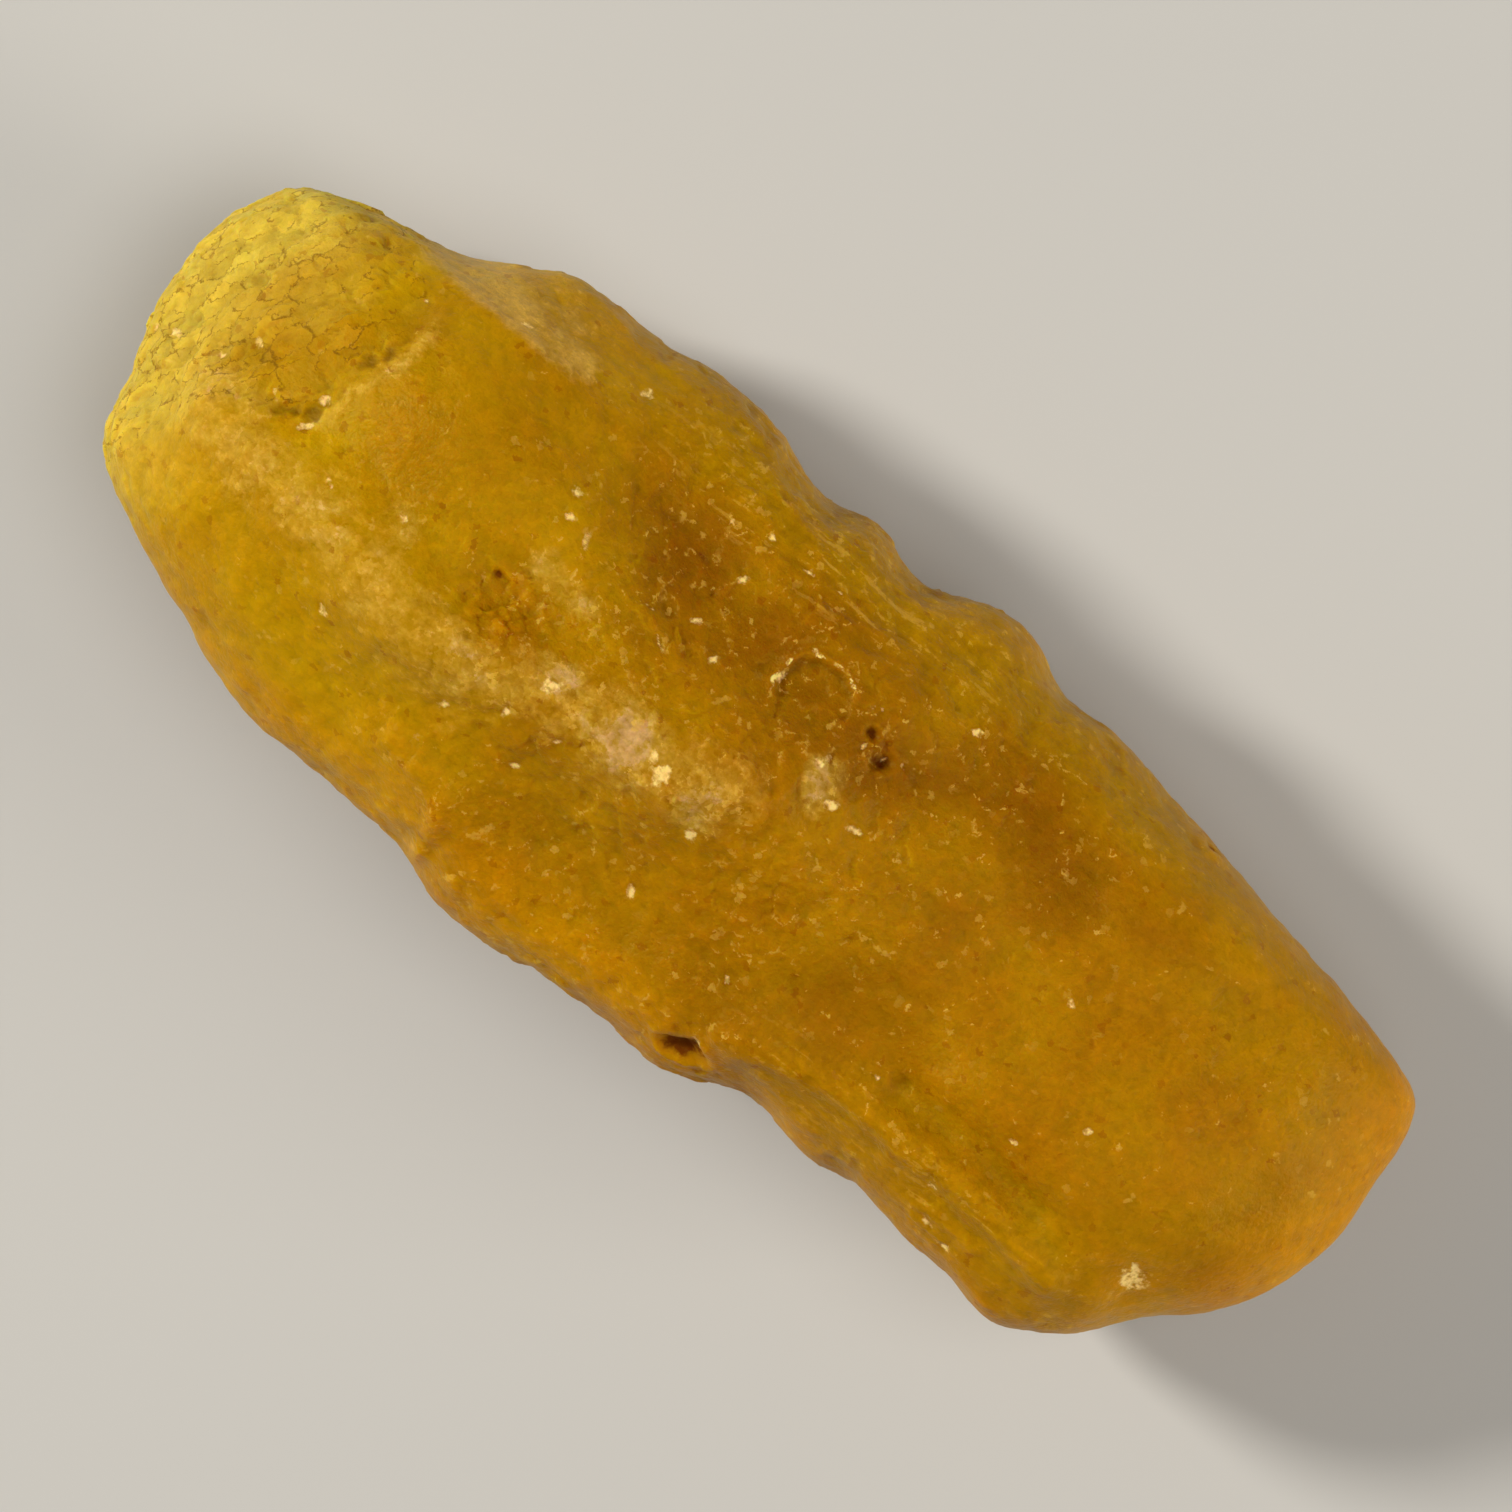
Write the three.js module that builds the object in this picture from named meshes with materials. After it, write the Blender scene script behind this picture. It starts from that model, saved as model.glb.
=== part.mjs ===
// A lump of raw amber, lying on its worn back with its weathered face up.
// Millimetres: X runs along the length, Y across the width, and Z up from the resting face.
import * as THREE from 'three'
import { mergeVertices } from 'three/addons/utils/BufferGeometryUtils.js'

// Driving dimensions
const HALF_LENGTH = 31.5
const HALF_WIDTH = 12.3
const RESTING_HEIGHT = 0
const RIM_TILT = -0.04
const CELLS = { along: 58, across: 22, high: 10 }

// How full the piece is: the plan fraction where the faces turn into the wall,
// and the powers of the rounding over the two ends
const SHOULDER = 0.87
const END_POWER = { left: 4.4, right: 6.5 }

// The outline seen from above, anticlockwise from the middle of the right end
const OUTLINE = [
  [31.5, 2.2], [31.2, 4.5], [30.8, 7.2], [30.35, 8.0], [29.6, 8.35], [26.1, 9.05], [22.1, 9.7],
  [18.1, 10.3], [14.1, 10.95], [10.4, 11.35], [9.1, 11.2], [7.7, 11.35], [6.9, 11.8], [5.9, 12.15],
  [4.3, 12.3], [3.4, 12.1], [2.6, 11.6], [1.3, 11.05], [0.5, 10.8], [-0.35, 11.0], [-1.2, 11.5],
  [-2.1, 11.75], [-3.1, 11.5], [-4.0, 11.1], [-5.3, 11.1], [-6.4, 11.35], [-7.6, 11.9],
  [-8.9, 12.05], [-10.9, 12.15], [-12.3, 12.05], [-13.8, 11.7], [-17.8, 11.55], [-18.7, 11.4],
  [-19.9, 10.8], [-21.4, 9.8], [-22.9, 9.0], [-24.4, 8.65], [-26.0, 8.3], [-26.9, 7.95],
  [-28.4, 7.65], [-29.8, 7.1], [-30.8, 5.4], [-31.4, 4.2], [-31.6, 2.0], [-31.5, 0.0],
  [-31.2, -1.7], [-30.6, -2.7], [-30.1, -4.3], [-29.9, -5.8], [-29.3, -6.9], [-28.7, -7.4],
  [-27.9, -7.8], [-26.9, -8.1], [-25.9, -8.7], [-24.1, -9.35], [-22.8, -9.9], [-22.0, -10.05],
  [-19.9, -10.8], [-17.9, -11.3], [-16.1, -11.55], [-12.9, -11.35], [-10.4, -11.5], [-9.2, -11.4],
  [-8.1, -11.65], [-7.3, -12.05], [-6.2, -12.35], [-4.2, -12.4], [-2.4, -12.1], [-0.9, -11.8],
  [3.1, -11.5], [5.1, -11.6], [6.4, -11.2], [7.4, -10.7], [8.6, -10.2], [9.7, -10.0],
  [12.1, -10.4], [13.6, -10.2], [14.7, -9.95], [15.7, -10.0], [17.1, -10.25], [19.6, -10.3],
  [21.1, -10.5], [22.1, -10.7], [23.0, -10.6], [24.1, -10.05], [25.3, -9.15], [26.3, -8.1],
  [26.9, -7.2], [27.4, -6.5], [28.1, -5.8], [29.1, -5.0], [30.1, -3.7], [30.9, -2.0], [31.3, -0.6]
]
const OUTLINE_SAMPLES = 900
// The notches of the outline are sharp at the rim and soften away from it: over how many samples
// they are averaged, and the plan fractions between which they fade
const SOFTENED_OVER = 26
const FADE = { from: 0.78, to: 0.985 }

// Along the middle of the piece, as [x, value]: the rim's height, the face's rise above it, the
// back's drop below it, and the power of the rounding over the long sides, higher where they are fuller
const RIM_HEIGHT = [[-31, 6.4], [-20, 7.5], [-5, 8.1], [10, 8.3], [22, 8.8], [31, 8.4]]
const FACE_RISE = [
  [-31, 6.6], [-24, 8.2], [-15, 8.7], [-5, 8.8], [1, 8.5], [8, 7.3], [13, 6.9], [20, 7.1], [31, 6.6]
]
const BACK_DROP = [
  [-31, 5.6], [-22, 7.2], [-13, 8.3], [-2, 8.0], [6, 8.3], [13, 8.9], [22, 8.2], [31, 6.2]
]
const SIDE_POWER = [[-31, 3.2], [-20, 2.5], [0, 2.4], [12, 3.0], [22, 4.0], [31, 4.2]]

// Flat breaks on the face: a plane through a point, its slopes, how softly it meets the rest, and,
// for a break that is only local, how far it reaches along the piece each way
const FACE_BREAKS = [
  // the crazed broken end, in two slopes
  { x: -22.8, y: 3, z: 7.4, slopeX: 0.4, slopeY: 0.05, soft: 0.7 },
  { x: -27.2, y: 2, z: 5.4, slopeX: 1.05, slopeY: 0.08, soft: 0.9 },
  // the flank above the crest, which falls away to the upper edge
  { x: -4, y: 8.4, z: 6.3, slopeX: -0.02, slopeY: -0.85, soft: 1.0 },
  // the flank below the crest
  { x: -12, y: -6.0, z: 7.4, slopeX: -0.05, slopeY: 0.5, soft: 1.4 },
  // the broad smooth break of the right end
  { x: 22, y: 0, z: 6.9, slopeX: -0.03, slopeY: -0.05, soft: 1.2, reach: 9 },
  // the facet under the flute at the lower right
  { x: 18, y: -7.4, z: 5.5, slopeX: 0.0, slopeY: 0.75, soft: 1.0, reach: 7 }
]
const LIFT_PAST_REACH = 0.5

// Raised and sunken runs of the face: a path, a half width and a height
const FACE_RUNS = [
  // the main crest with its dip
  {
    path: [[-26, -2.6], [-18, -3.5], [-13, -4.4], [-9.4, -3.2], [-6, -2.2], [-2.4, -2.3], [-0.4, -0.8]],
    width: 2.1,
    height: 0.8
  },
  // the crevice where the broken end meets the body
  { path: [[-22.2, 6.5], [-22.4, 4.0], [-23.1, 0.5]], width: 1.1, height: -0.35 },
  // the pale ridge along the upper left edge, and the rough groove behind it
  { path: [[-25.5, 7.4], [-20, 8.3], [-14, 8.2]], width: 1.3, height: 0.5 },
  { path: [[-17.2, 10.0], [-13.2, 9.8]], width: 1.2, height: -0.5 },
  // the dark trough right of the hollow
  { path: [[-3, 4.4], [4, 2.8], [9.5, 6.2], [13.5, 5.2]], width: 2.3, height: -0.6 },
  // the lip of the lobe at the lower left
  { path: [[-11.9, -8.3], [-9.9, -8.4], [-8.4, -9.4]], width: 1.2, height: 0.4 },
  // the flute at the lower right: two ridges and the groove between them
  { path: [[6.6, -8.6], [9.2, -7.8], [12.2, -7.3], [19.6, -7.3], [23.5, -7.8]], width: 1.1, height: 0.4 },
  { path: [[13.5, -5.7], [17, -5.6], [21.5, -6.0]], width: 1.1, height: -0.5 },
  { path: [[15.5, -3.9], [19.7, -4.4], [22, -4.8]], width: 1.2, height: 0.3 }
]

// Round features of the face: middle, half widths, turn in degrees and height
const FACE_SPOTS = [
  // the swelling above the crest
  { x: -16.5, y: 3.2, rx: 6.5, ry: 3.6, turn: 0, height: 0.9 },
  // the highest knob of the crest
  { x: -3.2, y: -2.0, rx: 3.0, ry: 1.6, turn: 10, height: 0.35 },
  // the crusted pit with its lump
  { x: -11.9, y: -0.7, rx: 2.2, ry: 1.8, turn: 0, height: -1.0 },
  { x: -11.4, y: -2.2, rx: 1.2, ry: 1.1, turn: 0, height: 0.4 },
  // the orange hollow
  { x: -7.2, y: 5.6, rx: 4.4, ry: 3.2, turn: -8, height: -1.1 },
  // the thumbnail scar and the twin pits beside it
  { x: 0.4, y: 4.7, rx: 1.6, ry: 1.4, turn: 0, height: -0.4 },
  { x: 3.8, y: 4.6, rx: 1.4, ry: 1.1, turn: -25, height: -0.5 },
  // the pale knob right of the scar
  { x: 3.2, y: 1.7, rx: 1.8, ry: 1.3, turn: 0, height: 0.35 },
  // the sinks below the crest
  { x: -4.0, y: -7.0, rx: 3.4, ry: 2.0, turn: 0, height: -0.7 },
  { x: -14.0, y: -7.4, rx: 4.5, ry: 1.6, turn: 4, height: -0.35 },
  { x: 9.5, y: -4.4, rx: 3.2, ry: 2.2, turn: 0, height: -0.6 },
  // the nub of the lower edge and the brown pit in it
  { x: 4.6, y: -9.6, rx: 2.6, ry: 1.7, turn: 0, height: 0.5 },
  { x: 5.7, y: -10.2, rx: 1.4, ry: 1.1, turn: 10, height: -0.8 },
  // low swells and sinks of the right end
  { x: 17.5, y: -0.5, rx: 4.0, ry: 3.5, turn: 0, height: 0.35 },
  { x: 22.0, y: 5.7, rx: 4.0, ry: 1.5, turn: 0, height: -0.3 },
  { x: 26.3, y: -5.6, rx: 1.4, ry: 1.3, turn: 0, height: -0.3 }
]

// The back, seen from below: its breaks, runs and round features, as depths below the rim
const BACK_BREAKS = [
  { x: -23, y: 0, z: 6.8, slopeX: 0.55, slopeY: -0.1, soft: 1.0 },
  { x: 22, y: -3, z: 7.2, slopeX: -0.38, slopeY: 0.12, soft: 1.2 },
  { x: 4, y: 7.4, z: 6.2, slopeX: 0.0, slopeY: -0.9, soft: 1.0 },
  { x: -8, y: -7.2, z: 6.6, slopeX: 0.03, slopeY: 0.8, soft: 1.1 }
]
const BACK_RUNS = [
  { path: [[-25, -3], [-15, -5.2], [-4, -5.8]], width: 1.6, height: 0.8 },
  { path: [[6, 5.0], [14, 5.4], [24, 3.2]], width: 1.5, height: 0.8 },
  { path: [[-27, 3.2], [-19, 5.2], [-12, 7.4]], width: 1.3, height: -0.7 },
  { path: [[-4, -2.5], [1, 2.0], [3, 6.5]], width: 1.4, height: -0.6 }
]
const BACK_SPOTS = [
  { x: 16.5, y: -4.8, rx: 6.0, ry: 3.4, turn: 12, height: -1.9 },
  { x: -19.5, y: 1.5, rx: 4.6, ry: 3.0, turn: -10, height: -1.2 },
  { x: -1.5, y: 7.6, rx: 4.6, ry: 1.8, turn: 0, height: -1.0 },
  { x: -9.0, y: -8.6, rx: 3.0, ry: 1.6, turn: 0, height: -0.7 },
  { x: 26.0, y: 3.4, rx: 2.4, ry: 2.2, turn: 0, height: -0.6 },
  { x: -27.0, y: -3.5, rx: 2.4, ry: 2.0, turn: 0, height: 0.5 }
]

// Scoops in the long walls: which side, middle, half widths along and up, and depth
const WALL_SCOOPS = [
  { side: 1, x: -14, z: 4.4, rx: 5.0, rz: 2.2, depth: 1.1 },
  { side: 1, x: 0, z: 4.8, rx: 3.2, rz: 2.0, depth: 0.7 },
  { side: 1, x: 9, z: 3.6, rx: 3.0, rz: 1.8, depth: -0.5 },
  { side: 1, x: 18, z: 4.6, rx: 5.0, rz: 2.0, depth: 1.0 },
  { side: -1, x: -18, z: 4.6, rx: 4.5, rz: 2.0, depth: 0.9 },
  { side: -1, x: -9, z: 3.6, rx: 3.0, rz: 1.8, depth: -0.5 },
  { side: -1, x: 0, z: 4.6, rx: 4.0, rz: 2.2, depth: 1.1 },
  { side: -1, x: 14, z: 4.8, rx: 4.5, rz: 2.0, depth: 0.9 }
]

const bell = (distance) => Math.exp(-distance * distance)

// A value between stations along the piece, in smooth steps
function along(stations, x) {
  if (x <= stations[0][0]) return stations[0][1]
  for (let i = 1; i < stations.length; i++) {
    const [x0, value0] = stations[i - 1]
    const [x1, value1] = stations[i]
    if (x <= x1) return value0 + (value1 - value0) * THREE.MathUtils.smoothstep(x, x0, x1)
  }
  return stations[stations.length - 1][1]
}

function softMin(a, b, soft) {
  const share = Math.max(soft - Math.abs(a - b), 0) / soft
  return Math.min(a, b) - share * share * soft / 4
}

function distanceToPath(x, y, path) {
  let nearest = Infinity
  for (let i = 1; i < path.length; i++) {
    const [ax, ay] = path[i - 1]
    const [bx, by] = path[i]
    const dx = bx - ax
    const dy = by - ay
    const share = THREE.MathUtils.clamp(((x - ax) * dx + (y - ay) * dy) / (dx * dx + dy * dy), 0, 1)
    nearest = Math.min(nearest, Math.hypot(x - ax - share * dx, y - ay - share * dy))
  }
  return nearest
}

function run(x, y, { path, width, height }) {
  return height * bell(distanceToPath(x, y, path) / width)
}

function spot(x, y, { x: middleX, y: middleY, rx, ry, turn, height }) {
  const angle = THREE.MathUtils.degToRad(turn)
  const dx = x - middleX
  const dy = y - middleY
  const u = (dx * Math.cos(angle) + dy * Math.sin(angle)) / rx
  const v = (dy * Math.cos(angle) - dx * Math.sin(angle)) / ry
  return height * bell(Math.hypot(u, v))
}

function planeAt(x, y, plane) {
  const beyond = Math.max(0, Math.abs(x - plane.x) - (plane.reach ?? Infinity))
  return plane.z + plane.slopeX * (x - plane.x) + plane.slopeY * (y - plane.y) + LIFT_PAST_REACH * beyond
}

// The slow swells that weathering leaves all over
function swell(x, y, shift) {
  return 0.16 * Math.sin(x / 2.9 + y / 4.1 + shift) + 0.14 * Math.sin(y / 2.3 - x / 5.3 + 2 * shift)
    + 0.08 * Math.sin(x / 1.9 - y / 2.2 + 3 * shift)
}

// One side of the piece, as a height away from the rim: a rounded body, cut by breaks, with relief
function sideHeight(x, y, rise, { body, breaks, runs, spots, shift }) {
  let height = rise * along(body, x)
  for (const plane of breaks) height = softMin(height, planeAt(x, y, plane), plane.soft)
  let relief = swell(x, y, shift)
  for (const one of runs) relief += run(x, y, one)
  for (const one of spots) relief += spot(x, y, one)
  return Math.max(height, 0) + relief * Math.min(1, 1.6 * rise)
}

const FACE = { body: FACE_RISE, breaks: FACE_BREAKS, runs: FACE_RUNS, spots: FACE_SPOTS, shift: 0.6 }
const BACK = { body: BACK_DROP, breaks: BACK_BREAKS, runs: BACK_RUNS, spots: BACK_SPOTS, shift: 2.9 }

// The outline as a radius against direction, in halves of the length and width, sharp and softened
function outlineTable() {
  const points = OUTLINE.map(([x, y]) => new THREE.Vector3(x, y, 0))
  const curve = new THREE.CatmullRomCurve3(points, true, 'centripetal')
  const table = curve.getPoints(OUTLINE_SAMPLES).slice(0, -1).map(({ x, y }) => ({
    angle: Math.atan2(y / HALF_WIDTH, x / HALF_LENGTH),
    sharp: Math.hypot(x / HALF_LENGTH, y / HALF_WIDTH)
  }))
  table.sort((a, b) => a.angle - b.angle)
  for (let i = 0; i < table.length; i++) {
    let sum = 0
    for (let k = -SOFTENED_OVER; k <= SOFTENED_OVER; k++) {
      sum += table[(i + k + table.length) % table.length].sharp
    }
    table[i].soft = sum / (2 * SOFTENED_OVER + 1)
  }
  const first = table[0]
  const last = table[table.length - 1]
  return [
    { ...last, angle: last.angle - 2 * Math.PI },
    ...table,
    { ...first, angle: first.angle + 2 * Math.PI }
  ]
}

const OUTLINE_TABLE = outlineTable()

// The outline's point in one direction; firm is 1 on the sharp outline and 0 on the softened one
function outlinePoint(angle, firm) {
  let low = 0
  let high = OUTLINE_TABLE.length - 1
  while (high - low > 1) {
    const middle = (low + high) >> 1
    if (OUTLINE_TABLE[middle].angle <= angle) low = middle
    else high = middle
  }
  const a = OUTLINE_TABLE[low]
  const b = OUTLINE_TABLE[high]
  const share = (angle - a.angle) / (b.angle - a.angle)
  const sharp = a.sharp + (b.sharp - a.sharp) * share
  const soft = a.soft + (b.soft - a.soft) * share
  const radius = soft + (sharp - soft) * firm
  return { x: radius * Math.cos(angle) * HALF_LENGTH, y: radius * Math.sin(angle) * HALF_WIDTH }
}

// The rounding power in one direction: full over the ends, softer over the long sides
function roundingPower(angle) {
  const endwards = Math.cos(angle) ** 6
  const sidewards = Math.sin(angle) ** 6
  const sidePower = along(SIDE_POWER, outlinePoint(angle, 1).x)
  const endPower = Math.cos(angle) > 0 ? END_POWER.right : END_POWER.left
  return THREE.MathUtils.lerp(sidePower, endPower, endwards / (endwards + sidewards))
}

function scoopDepth(x, y, z) {
  let depth = 0
  for (const scoop of WALL_SCOOPS) {
    if (Math.sign(y) !== scoop.side) continue
    depth += scoop.depth * bell(Math.hypot((x - scoop.x) / scoop.rx, (z - scoop.z) / scoop.rz))
  }
  return depth
}

// One corner of the cell box, u along, v across and w up, each from -1 to 1, moved to the amber's skin
function skinPoint(u, v, w) {
  const square = Math.max(Math.abs(u), Math.abs(v))
  const angle = Math.atan2(v, u)
  const power = roundingPower(angle)
  const onWall = square > 1 - 1e-6
  const shoulderRise = Math.sqrt(1 - SHOULDER ** power)
  const rise = onWall ? Math.abs(w) * shoulderRise : Math.sqrt(1 - (square * SHOULDER) ** power)
  const reach = onWall ? (1 - rise * rise) ** (1 / power) : square * SHOULDER
  const edge = outlinePoint(angle, THREE.MathUtils.smoothstep(reach, FADE.from, FADE.to))
  const x = edge.x * reach
  const y = edge.y * reach
  const rim = along(RIM_HEIGHT, x) + RIM_TILT * y
  if (onWall && w === 0) return new THREE.Vector3(x, y, rim)
  const z = w > 0
    ? rim + sideHeight(x, y, rise, FACE)
    : Math.max(rim - sideHeight(x, y, rise, BACK), RESTING_HEIGHT)
  const inset = onWall ? scoopDepth(x, y, z) * Math.min(1, 3 * rise) : 0
  return new THREE.Vector3(x, y - Math.sign(y) * inset, z)
}

function amberGeometry() {
  const cells = new THREE.BoxGeometry(2, 2, 2, CELLS.along, CELLS.across, CELLS.high)
  cells.deleteAttribute('normal')
  cells.deleteAttribute('uv')
  const skin = mergeVertices(cells)
  const corners = skin.attributes.position
  for (let i = 0; i < corners.count; i++) {
    const point = skinPoint(corners.getX(i), corners.getY(i), corners.getZ(i))
    corners.setXYZ(i, point.x, point.y, point.z)
  }
  skin.computeBoundingBox()
  const middle = skin.boundingBox.getCenter(new THREE.Vector3())
  skin.translate(-middle.x, -middle.y, 0)
  skin.computeVertexNormals()
  return skin
}

function amberMesh() {
  const material = new THREE.MeshStandardMaterial({ color: 0xb57d12, roughness: 0.38, metalness: 0 })
  const mesh = new THREE.Mesh(amberGeometry(), material)
  mesh.name = 'amber'
  return mesh
}

const group = new THREE.Group()
group.add(amberMesh())

export default group
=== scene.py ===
import math

import bmesh
import bpy
import numpy as np
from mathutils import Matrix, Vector, noise


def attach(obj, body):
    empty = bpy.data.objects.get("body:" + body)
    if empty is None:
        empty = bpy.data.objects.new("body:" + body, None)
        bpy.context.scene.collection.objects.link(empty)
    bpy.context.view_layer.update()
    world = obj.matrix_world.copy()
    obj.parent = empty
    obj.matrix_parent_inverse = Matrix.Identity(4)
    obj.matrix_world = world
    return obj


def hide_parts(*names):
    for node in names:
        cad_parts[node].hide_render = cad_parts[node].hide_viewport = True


# A lump of raw amber: cloudy honey-yellow resin, lying on its worn back with its weathered face up.
# The frame is in metres. The sculpting works in millimetres, with X along the lump, Y across it
# and Z up, as the frame has them.

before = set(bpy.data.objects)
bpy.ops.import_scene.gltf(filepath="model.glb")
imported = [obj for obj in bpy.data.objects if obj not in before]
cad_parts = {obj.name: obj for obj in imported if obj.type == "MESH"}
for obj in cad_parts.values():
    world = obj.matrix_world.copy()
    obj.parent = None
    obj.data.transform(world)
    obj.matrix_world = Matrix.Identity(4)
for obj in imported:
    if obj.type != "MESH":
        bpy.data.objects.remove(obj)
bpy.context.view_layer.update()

MM = 0.001

# The skin
SAME_PLACE = 1e-6  # metres between points that are one
SUBDIVISIONS = 2
UPPER_SIDE = -0.1  # skin that leans down less than this belongs to the upper side
FLAT_BELOW = 0.35  # the worn resting face stays flat up to this height
LEANS_UP = 0.3  # skin that leans up more than this is held near the lump's highest point
TOP_RELIEF = 0.1  # how far its relief may stand above that point

# How the patterns of the relief are drawn
OCTAVE_FADE = 0.9
OCTAVE_STEP = 2.0
SHIFT_ACROSS, SHIFT_UP = 2.3, -1.7  # what a shift of 1 moves a pattern across and up, in its own units
FOLD_STEEPNESS = 2.2

# The view is straight down on the lump. It is VIEW_SIZE across at the height of the lump's rim,
# and the lump's length runs down to the right in it.
VIEW_SIZE = 63.0
VIEW_MIDDLE = (0.15, 1.0)
VIEW_TURN = 40.3  # degrees
RIM_LEVEL = 8.0
LENS, SENSOR = 200.0, 36.0
VIEW_DISTANCE = VIEW_SIZE * LENS / SENSOR
SEEN_FROM, SEEN_TO = 0.01, 10  # metres from the camera


# The places of what the eye picks out on the face, in millimetres, as the view from above has them

BROKEN_EDGE = [  # where the crazed broken end meets the body: y, x
    (-9.0, -28.0), (-6.0, -27.7), (-4.0, -27.1), (-2.2, -26.2), (-1.0, -24.2), (0.1, -23.2),
    (2.0, -22.9), (3.5, -22.5), (5.0, -22.2), (6.6, -22.4), (8.0, -23.6),
]
CREVICE = [(-22.1, 6.6), (-22.2, 5.0), (-22.5, 3.5), (-22.9, 1.9), (-23.2, 0.1), (-24.2, -1.0)]
CREST = [
    (-26.0, -2.8), (-22.0, -3.0), (-18.0, -3.4), (-14.0, -4.0), (-11.4, -4.4), (-9.4, -3.2),
    (-6.0, -1.9), (-3.5, -2.4), (0.3, -1.0),
]
VALLEY = [
    (-23.0, -7.2), (-19.0, -7.0), (-14.5, -7.4), (-10.5, -6.4), (-6.0, -6.6), (-1.0, -7.4), (4.0, -6.8),
    (9.0, -5.2), (12.0, -4.2),
]
CREST_HALF_WIDTH = 1.9
TROUGH = [(-3.0, 5.0), (4.5, 4.0), (9.5, 6.6), (13.5, 5.4)]
LOBE_LIP = [(-11.9, -8.4), (-9.9, -8.5), (-8.7, -9.0), (-8.1, -10.0), (-7.9, -11.0)]
FLUTE_RIDGE = [(6.6, -9.0), (9.1, -8.0), (12.1, -7.3), (19.6, -7.2), (23.5, -7.8)]
FLUTE_GROOVE = [(14.0, -5.8), (17.5, -5.6), (21.2, -6.0)]

# Single places: x, y, half length, half width, turn
HOLLOW = (-7.3, 5.8, 4.4, 2.8, -8)
HOLLOW_SHADE = (-7.2, 5.6, 4.6, 3.2, -8)
SMOOTH_BULGE = (-17, 3, 5.5, 3.5)
PIT_CLUSTER = (-11.9, -1.0, 2.1, 1.8)
PIT_LUMP = (-11.5, -1.9, 0.6, 0.5)
PIT_LUMP_GLOW = (-11.5, -1.9, 0.5, 0.42)
FLUTE_SHADE = (17.5, -8.0, 9.5, 1.9, -2)
FLUTE_GLOW = (18.5, -8.6, 7.5, 0.8, -2)
RIGHT_SHADE = (22.5, 5.6, 3.6, 1.2)
SCAR = (0.4, 4.4, 1.75, 1.6)
BRUISE = (26.3, -5.6, 1.15, 1.0)

SCUFFED_PATCHES = [  # where the skin is rougher than around it, or smoother: x, y, half sizes, amount
    (-6.0, 4.0, 5.0, 3.5, 0.2), (19.0, 0.0, 8.0, 6.0, -0.3), (9.5, 5.5, 4.5, 3.0, 0.4),
    (-13.0, -6.2, 4.5, 2.4, -0.4), (-2.0, -7.0, 6.0, 2.6, -0.35),
]
BLOOM_AND_SHEEN_PATCHES = [  # bloom, partly painted sheen along the crest: x, y, half length, half width, turn, amount
    (-4.4, -2.1, 4.6, 1.7, -2, 1.0), (-0.4, -1.6, 2.4, 1.4, 20, 0.9), (-17.2, -1.2, 1.6, 1.2, 0, 0.5),
    (-10.6, 1.2, 1.9, 0.9, -8, 0.7), (3.0, 1.8, 1.1, 1.5, 20, 0.8), (-8.0, -1.9, 2.4, 1.5, 10, 0.8),
    (-11.6, -4.0, 3.4, 1.5, -8, 0.65), (-26.5, -1.6, 3.4, 1.3, -4, 0.6), (25.0, -9.0, 2.4, 0.7, 0, 0.25),
]
RUSSET_PATCHES = [  # where the body turns a deeper russet: x, y, half length, half width, amount
    (9.5, -4.2, 4.0, 2.8, 0.55), (5.8, -7.2, 3.6, 2.0, 0.4), (-3.2, -7.0, 4.0, 2.2, 0.25),
    (-8.0, -4.6, 1.6, 0.9, 0.25), (29.6, -3.4, 1.4, 2.0, 0.3), (-11.9, -0.9, 2.6, 2.0, 0.6),
    (0.0, 7.4, 8.0, 1.5, 0.45), (16.5, 6.2, 6.0, 1.5, 0.4), (-7.2, 1.6, 2.0, 1.3, 0.4),
    (10.0, 1.0, 3.0, 3.0, 0.4), (1.5, -8.2, 4.0, 1.3, 0.25), (-21.6, 5.6, 2.0, 1.8, 0.35),
    (-17.0, 4.0, 5.0, 3.6, 0.25), (-25.0, 3.0, 2.6, 3.4, 0.2), (25.5, -3.4, 3.2, 1.5, 0.16),
]
HOLES = [  # x, y, half length, half width, turn, depth, stain
    (-12.9, -0.2, 0.32, 0.25, 20, 0.08, 0.72), (-13.5, -1.6, 0.3, 0.25, 0, 0.12, 0.42),
    (-10.9, -0.6, 0.35, 0.3, 0, 0.12, 0.5), (-12.2, -2.9, 0.4, 0.25, 30, 0.12, 0.42),
    (3.3, 4.85, 0.28, 0.22, -15, 0.28, 0.78), (4.35, 4.2, 0.42, 0.3, 25, 0.28, 0.72),
    (5.7, -10.35, 0.8, 0.44, 14, 0.5, 1.0), (17.2, 10.6, 0.45, 0.3, 0, 0.35, 1.0),
    (13.7, -5.4, 0.2, 0.16, 0, 0.12, 0.6), (21.1, 2.3, 0.22, 0.2, 0, 0.1, 0.5),
    (-28.5, 2.8, 0.35, 0.25, 30, 0.2, 0.4), (25.2, -2.8, 0.24, 0.2, 0, 0.1, 0.5),
    (-6.9, 6.1, 0.3, 0.2, 0, 0.1, 0.5), (-24.4, 5.9, 0.3, 0.22, 40, 0.15, 0.4),
]
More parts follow.
